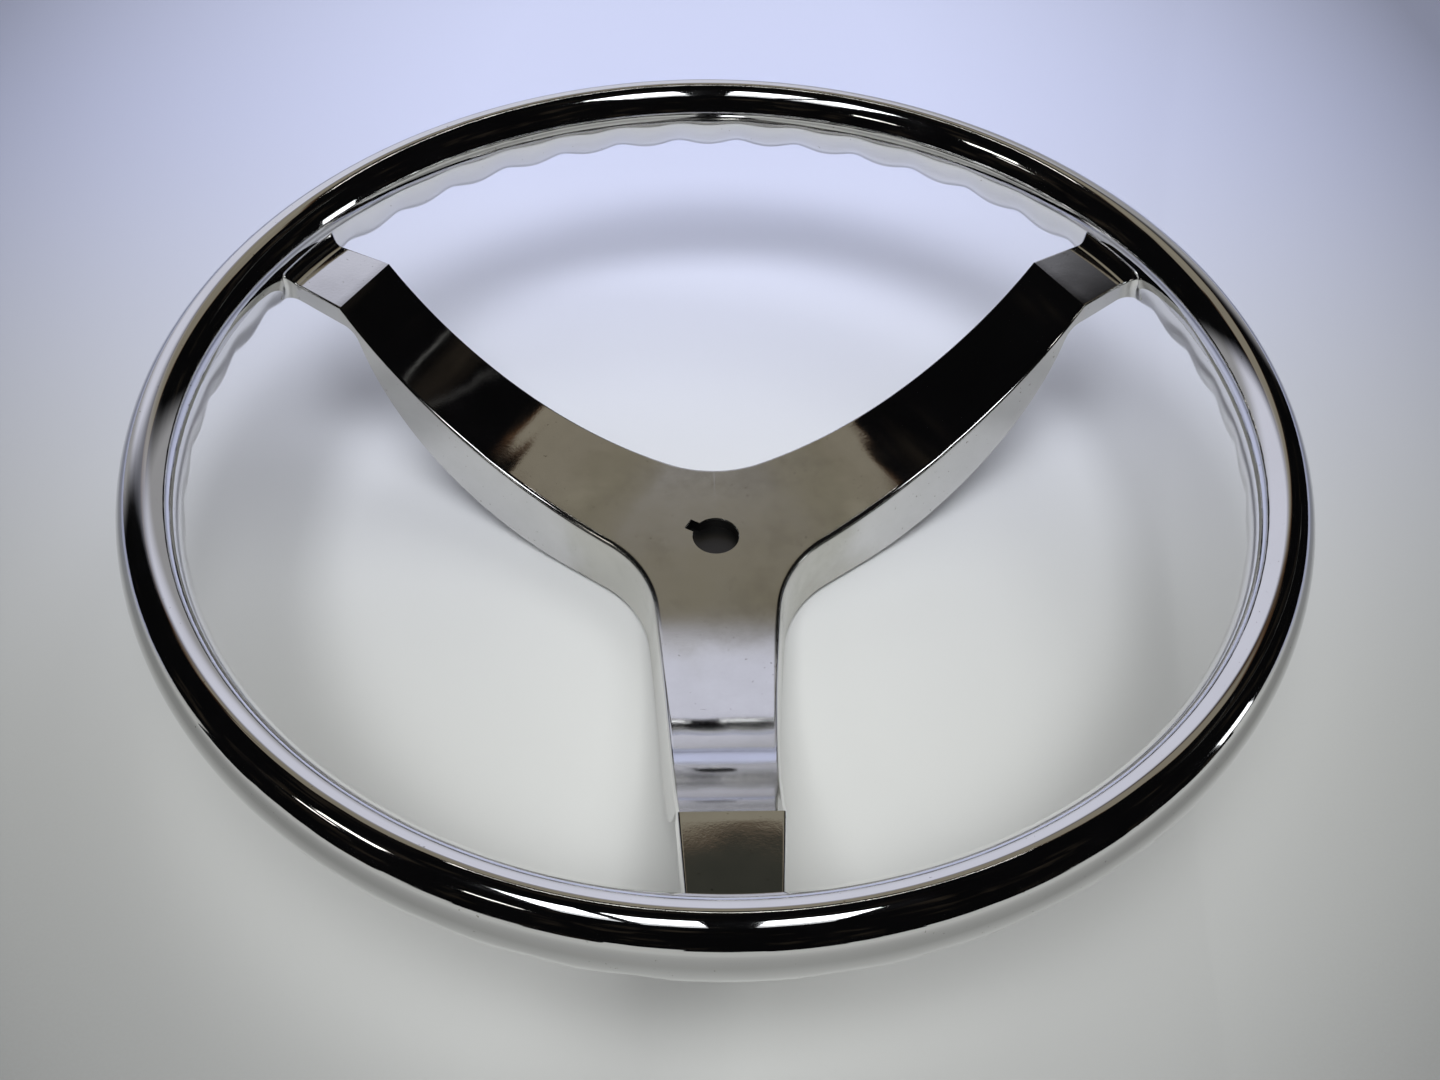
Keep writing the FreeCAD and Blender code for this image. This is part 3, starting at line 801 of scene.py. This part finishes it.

# %% [markdown]
# ## Finish of the casting
# The casting is polished too, but its skin is a little porous and mottled, and the hub was only
# brought to a satin finish, stained where water stood. Where the washer sat, a soft disc is
# cleaner. The taper bore is machined and not polished, with turned lines, and its colour is painted
# nearly black as the shade inside the hole. A wide, shallow wave in the surface bends the
# reflections, as hand polishing does.

# %% Casting finish
CAST_DULL = (0.60, 0.592, 0.58, 1)
CAST_BRIGHT = (0.745, 0.742, 0.735, 1)
CAST_PIT = (0.18, 0.15, 0.12, 1)
SATIN_CLEAN = (0.56, 0.55, 0.50, 1)
SATIN_STAINED = (0.42, 0.405, 0.35, 1)
WASHER_TONE = (0.60, 0.59, 0.55, 1)
BORE_SHADE = (0.03, 0.03, 0.03, 1)
BORE_LIGHT = (0.17, 0.165, 0.16, 1)
SATIN_ENDS = (0.046, 0.068)
WASHER_ENDS = (0.0196, 0.0216)
BORE_WITHIN = 0.0125
BORE_BELOW = 0.0268

cast_metal, tree, shader, place = metal("polished casting")
reach, round_way, height = axis_places(tree, place)
base = mixed(tree, noise(tree, place, 60.0, 8.0, 0.65), CAST_DULL, CAST_BRIGHT)
satin_wander = ranged(tree, noise(tree, place, 40.0, 3.0), 0.3, 0.7, -0.008, 0.008)
satin = ranged(tree, plus(tree, reach, satin_wander), *SATIN_ENDS, 1.0, 0.0, True)
stain = ranged(tree, noise(tree, place, 22.0, 6.0, 0.7), 0.42, 0.68, 0.0, 1.0, True)
satin_tone = mixed(tree, stain, SATIN_CLEAN, SATIN_STAINED)
base = mixed(tree, times(tree, satin, 0.8), base, satin_tone)
washer_wander = ranged(tree, noise(tree, place, 90.0, 4.0), 0.3, 0.7, -0.0014, 0.0014)
washer = ranged(tree, plus(tree, reach, washer_wander), *WASHER_ENDS, 1.0, 0.0)
base = mixed(tree, times(tree, washer, 0.45), base, WASHER_TONE)
pits = speckle(tree, place, 520.0, 0.70, 0.75)
base = mixed(tree, times(tree, pits, 0.6), base, CAST_PIT)
# Painted shade: in the bore the colour is nearly black, the shade inside the hole, with turned lines in a
# lighter grey.
in_bore = worked(tree, "LESS_THAN", reach, BORE_WITHIN)
in_bore = times(tree, in_bore, worked(tree, "LESS_THAN", height, BORE_BELOW))
bore_shade_tone = mixed(tree, noise(tree, height, 1800.0, 2.0), BORE_SHADE, BORE_LIGHT)
feed(tree, shader, "Base Color", mixed(tree, in_bore, base, bore_shade_tone))
polished = ranged(tree, noise(tree, place, 28.0, 6.0, 0.65), 0.3, 0.75, 0.025, 0.085)
satin_rough = plus(tree, polished, times(tree, satin, 0.12))
feed(tree, shader, "Roughness", worked(tree, "MAXIMUM", satin_rough, times(tree, in_bore, 0.42)))
wave = raised(tree, 0.0006, 0.22, noise(tree, place, 26.0, 2.0))
grain = raised(tree, 0.00005, 0.10, noise(tree, place, 900.0, 3.0, 0.7), wave)
feed(tree, shader, "Normal", grain)
casting.data.materials.append(cast_metal)
print("casting finish: %d nodes" % len(tree.nodes))

# %% [markdown]
# ## Taking the model's places
# Each smooth piece stands in for one solid of the engineering model, which is hidden, keeps the
# finish it was given above, and rides on the one body that the wheel has.

# %% Pieces into the frame
for piece, cad_node, slot in ((rim, "rim", "rim_steel"), (casting, "spider", "casting_steel")):
    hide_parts(cad_node)
    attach(piece, "root")
    print(piece.name, "stands in for", cad_node)

# %% [markdown]
# ## Pale sheet
# The wheel lies on a pale sheet. It reaches far back, and in front it ends about 0.8 to 1.3 m
# from the wheel's axis with an uneven edge, because polished metal shows where a sheet ends. A
# fan of triangles round the middle is enough for it, since it is flat.

# %% Sheet
SHEET_BACK = 4.0
SHEET_FRONT = (0.78, 0.95, 0.84, 1.15, 0.90, 0.80, 1.05, 0.82, 0.76, 0.80, 0.92, 0.84, 1.0, 1.3, 1.1)
BACK_DEGREES = range(-8, 189, 4)
FRONT_STARTS = 192
FRONT_SPAN = 156

outline = [(SHEET_BACK, degree) for degree in BACK_DEGREES]
for index, reach_out in enumerate(SHEET_FRONT):
    for edge in (0, 1):
        outline.append((reach_out, FRONT_STARTS + (index + edge) * FRONT_SPAN / len(SHEET_FRONT)))
count = len(outline)
sheet_points = [(r * math.cos(math.radians(d)), r * math.sin(math.radians(d)), 0) for r, d in outline]
sheet_faces = [(i, (i + 1) % count, count) for i in range(count)]
sheet_mesh = bpy.data.meshes.new("pale_sheet")
sheet_mesh.from_pydata(sheet_points + [(0, 0, 0)], [], sheet_faces)
table = bpy.data.objects.new("pale_table", sheet_mesh)
bpy.context.scene.collection.objects.link(table)
print("sheet of %d triangles" % count)

# %% [markdown]
# ## Colour of the sheet
# The sheet is a little lavender towards the back and greyer in front. Its brightness is painted
# light and shade: the fall of light on the background comes from these colours and not from more
# light, so the metal keeps its contrast. The painted light is palest behind the middle, falls off
# with the squared distance from there to darker corners and grows paler again far out. A small
# painted pool of light in front of the hub lifts the shade under the near rim. Fine fibres break
# up the plain tone.

# %% Sheet colour
PALEST_Y = 0.34
FALL_ACROSS = 3.0
FALL_BACK = 1.45
PALEST = 0.80
DARKEST = 0.25
PALE_LIMIT = 0.76
POOL_Y = -0.13
POOL_FALL = -40.0
POOL_PAINTED_LIGHT = 0.16
GREYER_FRONT = (1.028, 1.02, 0.955, 1)
LAVENDER_BACK = (0.875, 0.915, 1.21, 1)
FIBRE = (0.55, 0.56, 0.60, 1)

paper = bpy.data.materials.new("pale sheet")
paper.use_nodes = True
tree = paper.node_tree
shader = tree.nodes["Principled BSDF"]
place = (node(tree, "ShaderNodeTexCoord"), "Object")
x, y, z = split(tree, place)
# Painted light and shade: brightest behind the middle, darker towards the corners, paler again far out.
across = times(tree, x, x)
back = worked(tree, "SUBTRACT", y, PALEST_Y)
back = times(tree, back, back)
fall = plus(tree, times(tree, across, FALL_ACROSS), times(tree, back, FALL_BACK))
bright = worked(tree, "MAXIMUM", worked(tree, "SUBTRACT", PALEST, fall), DARKEST)
bright = worked(tree, "MINIMUM", bright, PALE_LIMIT)
# Painted light: a pale pool in front of the hub, which lifts the shade under the near rim.
front = worked(tree, "SUBTRACT", y, POOL_Y)
front = plus(tree, across, times(tree, front, front))
painted_light_pool = worked(tree, "EXPONENT", times(tree, front, POOL_FALL))
bright = plus(tree, bright, times(tree, painted_light_pool, POOL_PAINTED_LIGHT))
bright = plus(tree, bright, ranged(tree, plus(tree, across, back), 0.36, 0.7, 0.0, 0.3))
tint = mixed(tree, ranged(tree, y, -0.10, 0.36, 0.0, 1.0, True), GREYER_FRONT, LAVENDER_BACK)
grey = node(tree, "ShaderNodeCombineColor")
for channel in range(3):
    feed(tree, grey, channel, bright)
colour = mixed(tree, 1.0, grey, tint, "MULTIPLY")
fibres = ranged(tree, noise(tree, place, 900.0, 4.0, 0.7), 0.3, 0.7, 0.0, 0.05)
feed(tree, shader, "Base Color", mixed(tree, fibres, colour, FIBRE))
shader.inputs["Roughness"].default_value = 0.55
sheet_mesh.materials.append(paper)
print("sheet finish: %d nodes" % len(tree.nodes))

# %% [markdown]
# ## The room as a cloth
# Polished metal is only as lively as what it reflects. The room is a large sphere of dark cloth
# with a soft round opening, through which the pale wall of the world shows. It is seen only in
# reflections and by the sheet. A sphere 12 m in radius is used, because a reflection then hardly
# shifts along the wheel. Each direction is given as an angle from straight up and one round it.

# %% Cloth and its directions
CLOTH_RADIUS = 12.0
OPENING_ROUND = math.radians(98)
OPENING_UP = math.radians(-10)
FLAT = math.cos(OPENING_UP)
OPENING = Vector((math.cos(OPENING_ROUND) * FLAT, math.sin(OPENING_ROUND) * FLAT, math.sin(OPENING_UP)))
OPENING_ENDS = (0.510, 0.640)
MIDDLE_ROUND = math.radians(86)


def facing(tree, way, direction):
    """How closely a way agrees with a direction: 1 where they are the same."""
    made = node(tree, "ShaderNodeVectorMath", operation="DOT_PRODUCT")
    feed(tree, made, 0, way)
    made.inputs[1].default_value = direction
    return made, "Value"


bpy.ops.mesh.primitive_uv_sphere_add(segments=96, ring_count=48, radius=CLOTH_RADIUS, location=(0, 0, 0))
cloth = bpy.context.object
cloth.name = "dark_cloth"
cloth_material = bpy.data.materials.new("dark cloth")
cloth_material.use_nodes = True
tree = cloth_material.node_tree
tree.nodes.clear()
out = node(tree, "ShaderNodeOutputMaterial")
way = node(tree, "ShaderNodeVectorMath", operation="NORMALIZE")
feed(tree, way, 0, (node(tree, "ShaderNodeTexCoord"), "Object"))
x, y, z = split(tree, way)
wobble = ranged(tree, noise(tree, way, 3.2, 2.0), 0.3, 0.7, -0.018, 0.018)
ragged = ranged(tree, noise(tree, way, 11.0, 1.0), 0.3, 0.7, -0.13, 0.13)
toward_wall = plus(tree, facing(tree, way, OPENING), times(tree, wobble, 0.3))
opening = ranged(tree, toward_wall, *OPENING_ENDS, 0.0, 1.0, True)
round_way = plus(tree, worked(tree, "ARCTAN2", y, x), times(tree, wobble, 2.0))
from_top = plus(tree, worked(tree, "ARCCOSINE", z), wobble)
off_middle = worked(tree, "ABSOLUTE", worked(tree, "SUBTRACT", round_way, MIDDLE_ROUND))
print("cloth sphere of %.0f m, open towards %.0f degrees" % (CLOTH_RADIUS, math.degrees(OPENING_ROUND)))

# %% [markdown]
# ## A dull strip above the opening
# The hub's face and the ends of the far arms reflect a greyish strip high behind the wheel, with
# a thin brown border where the black begins. A colour ramp gives black, brown and grey in one
# go. The strip's four sides are softened steps, and noise makes the side borders ragged.

# %% Strip
STRIP_START = (33.4, 34.6)
STRIP_END = (46.0, 48.0)
STRIP_RIGHT = (43.0, 46.0)
STRIP_LEFT = (119.0, 122.0)
START_BEND = 0.16
START_BEND_LIMIT = 0.062
END_BEND = 0.22
CLOTH_BLACK = (0.0025, 0.0025, 0.0028, 1)
BORDER_BROWN = (0.070, 0.036, 0.018, 1)
STRIP_GREY = (0.25, 0.225, 0.175, 1)


def past(tree, angle, ends, rising=True):
    """1 past the ends (degrees) and 0 before them, or the other way round."""
    low, high = (math.radians(end) for end in ends)
    return ranged(tree, angle, low, high, 0.0 if rising else 1.0, 1.0 if rising else 0.0)


start_bend = worked(tree, "MINIMUM", times(tree, off_middle, START_BEND), START_BEND_LIMIT)
side = plus(tree, round_way, ragged)
strip = past(tree, plus(tree, from_top, start_bend), STRIP_START)
strip = times(tree, strip, past(tree, side, STRIP_RIGHT))
strip = times(tree, strip, past(tree, side, STRIP_LEFT, False))
end_bend = times(tree, off_middle, END_BEND)
strip = times(tree, strip, past(tree, plus(tree, from_top, end_bend), STRIP_END, False))
strip_colour = node(tree, "ShaderNodeValToRGB")
feed(tree, strip_colour, 0, strip)
strip_colour.color_ramp.elements[0].color = CLOTH_BLACK
strip_colour.color_ramp.elements[1].color = STRIP_GREY
strip_colour.color_ramp.elements.new(0.45).color = BORDER_BROWN
print("strip from %.0f to %.0f degrees from straight up" % (STRIP_START[1], STRIP_END[0]))

# %% [markdown]
# ## Faint things in the dark
# Dim folds, one paler patch and two thin cords keep the black reflections on the arms from
# looking painted. They are added to the cloth's light, each only a few hundredths bright.

# %% Folds, patch and cords
FOLD = (0.024, 0.019, 0.013, 1)
PATCH_WAY = (0.035, 0.499, 0.866)
PATCH = (0.036, 0.037, 0.029, 1)
CORD = (0.11, 0.11, 0.105, 1)
CORDS = ((-1.05, 30.5, 0.55), (0.146, 45.2, 0.14))
CORD_ROUND = math.radians(21)
CORD_ENDS = (9.0, 12.0)
NOTHING = (0, 0, 0, 1)

folds = ranged(tree, noise(tree, way, 5.5, 5.0, 0.6), 0.56, 0.74, 0.0, 1.0)
patch = ranged(tree, facing(tree, way, PATCH_WAY), 0.984, 0.997, 0.0, 1.0, True)
faint = mixed(tree, 1.0, mixed(tree, folds, NOTHING, FOLD), mixed(tree, patch, NOTHING, PATCH), "ADD")
for slant, from_top_degrees, width in CORDS:
    sway = plus(tree, plus(tree, from_top, times(tree, round_way, slant)), times(tree, ragged, 0.05))
    off_cord = worked(tree, "ABSOLUTE", worked(tree, "SUBTRACT", sway, math.radians(from_top_degrees)))
    near_cord = worked(tree, "ABSOLUTE", worked(tree, "SUBTRACT", round_way, CORD_ROUND))
    cord = past(tree, off_cord, (width / 2, width), False)
    cord = times(tree, cord, past(tree, near_cord, CORD_ENDS, False))
    faint = mixed(tree, 1.0, faint, mixed(tree, cord, NOTHING, CORD), "ADD")

glow = node(tree, "ShaderNodeEmission", Strength=1.0)
feed(tree, glow, "Color", mixed(tree, 1.0, strip_colour, faint, "ADD"))
open_or_cloth = node(tree, "ShaderNodeMixShader")
for socket, term in enumerate((opening, glow, node(tree, "ShaderNodeBsdfTransparent"))):
    feed(tree, open_or_cloth, socket, term)
feed(tree, out, 0, open_or_cloth)
cloth.data.materials.append(cloth_material)
cloth.visible_camera = False
cloth.visible_shadow = False
cloth.visible_transmission = False
print("cloth finish: %d nodes" % len(tree.nodes))

# %% [markdown]
# ## Lamps
# Three windows hang overhead, a little to the camera's side, with a wider bar between the second
# and the third, and each has a dimmer sill. A thin bright slit lies behind the top of the wheel.
# Small lights stand to the left, in front and low on the right, and give the streaks along the
# tube. Two soft boxes light only the sheet and are kept out of reflections. All hang 6 m away,
# so that they are reflected from the same direction all over the wheel.

# %% Lamps
CEILING = 6.0
DEGREE = 0.105
WINDOW = (0.93, 0.96, 1.0)
WARM = (1.0, 0.98, 0.94)
WINDOW_FRONT = -28.0
WINDOW_BACK = -13.0
SILL_FRONT = -34.0
WINDOWS = (("left", -21.0, -12.8), ("middle", -10.2, -1.4), ("right", 5.0, 15.3))
SOFT_BOXES = (("front", -21.0, 15.0, -34.0, -6.0, 8.0), ("back", 8.0, 36.0, 8.0, 40.0, 2.8))


def soft_panel(name, width, height, radiance, colour):
    """A rectangle that shines evenly; the radiance is about how bright it looks."""
    data = bpy.data.lights.new(name, "AREA")
    data.shape = "RECTANGLE"
    data.size = width
    data.size_y = height
    data.energy = radiance * math.pi * width * height
    data.color = colour
    lamp = bpy.data.objects.new(name, data)
    bpy.context.scene.collection.objects.link(lamp)
    return lamp


def overhead(name, left, right, front, back_edge, radiance, colour):
    """A pane in the ceiling, between directions given as degrees from straight up."""
    x0, x1, y0, y1 = (CEILING * math.tan(math.radians(d)) for d in (left, right, front, back_edge))
    lamp = soft_panel(name, x1 - x0, y1 - y0, radiance, colour)
    lamp.location = ((x0 + x1) / 2, (y0 + y1) / 2, CEILING)
    return lamp


def pane(name, zenith, azimuth, width, height, radiance, colour, roll=0.0):
    """A panel in a direction from the wheel (degrees from straight up, and round), facing it."""
    lamp = soft_panel(name, width * DEGREE, height * DEGREE, radiance, colour)
    z, a = math.radians(zenith), math.radians(azimuth)
    way = Vector((math.sin(z) * math.cos(a), math.sin(z) * math.sin(a), math.cos(z)))
    lamp.location = way * CEILING
    turned_to_wheel = way.to_track_quat("Z", "Y").to_matrix().to_4x4()
    lamp.rotation_euler = (turned_to_wheel @ Matrix.Rotation(math.radians(roll), 4, "Z")).to_euler()


for name, left, right in WINDOWS:
    overhead("window_" + name, left, right, WINDOW_FRONT, WINDOW_BACK, 4.5, WINDOW)
    overhead("sill_" + name, left, right, SILL_FRONT, WINDOW_FRONT, 1.0, WINDOW)
overhead("window_slit", -11.0, 16.0, 24.7, 25.3, 5.0, WARM)
for name, left, right, front, back_edge, radiance in SOFT_BOXES:
    soft_box = overhead("soft_box_" + name, left, right, front, back_edge, radiance, WINDOW)
    soft_box.visible_glossy = False
pane("slat_left", 45.0, -158.0, 9, 4, 4.0, WARM, 12.0)
pane("slat_low", 53.0, -160.0, 6, 1.5, 3.0, WARM, 12.0)
pane("slat_front", 57.0, -126.0, 8, 2, 3.0, WARM, 8.0)
pane("low_right", 84.0, -6.0, 8, 9, 2.5, WINDOW)
print("lamps:", len(bpy.data.lights))

# %% [markdown]
# ## Pale wall
# Through the cloth's opening the metal sees the world's background: a wall that is brightest
# low behind the wheel, a little to the left, and greyer round that. At a strength of 1 a colour
# renders about as it is written.

# %% Wall
BRIGHTEST_WAY = (-0.28, 0.862, 0.4226)
BRIGHTEST_ENDS = (0.79, 0.94)
WALL_GREY = (0.36, 0.36, 0.375, 1)
WALL_PALE = (0.74, 0.755, 0.88, 1)

world = bpy.data.worlds.new("pale room")
world.use_nodes = True
bpy.context.scene.world = world
tree = world.node_tree
background = tree.nodes["Background"]
way = (node(tree, "ShaderNodeTexCoord"), "Generated")
near = ranged(tree, facing(tree, way, BRIGHTEST_WAY), *BRIGHTEST_ENDS, 0.0, 1.0, True)
feed(tree, background, "Color", mixed(tree, near, WALL_GREY, WALL_PALE))
background.inputs["Strength"].default_value = 1.0
print("wall finish: %d nodes" % len(tree.nodes))

# %% [markdown]
# ## Camera
# The photograph looks down at the wheel at about 40 degrees from straight up, from close by, so
# the near rim is drawn much larger than the far one.

# %% Camera and view
CAMERA_AT = (-0.0143, -0.341185, 0.427044)
CAMERA_TURN = (40.3054, -1.0322, -1.4464)

camera_data = bpy.data.cameras.new("camera")
camera_data.lens = 35.08
camera_data.sensor_width = 36.0
camera_data.clip_start = 0.01
camera = bpy.data.objects.new("camera", camera_data)
camera.location = CAMERA_AT
camera.rotation_euler = [math.radians(a) for a in CAMERA_TURN]
bpy.context.scene.collection.objects.link(camera)
bpy.context.scene.camera = camera
bpy.context.scene.view_settings.view_transform = "Standard"
print("camera %.2f m from the hub, lens %.1f mm" % (camera.location.length, camera_data.lens))
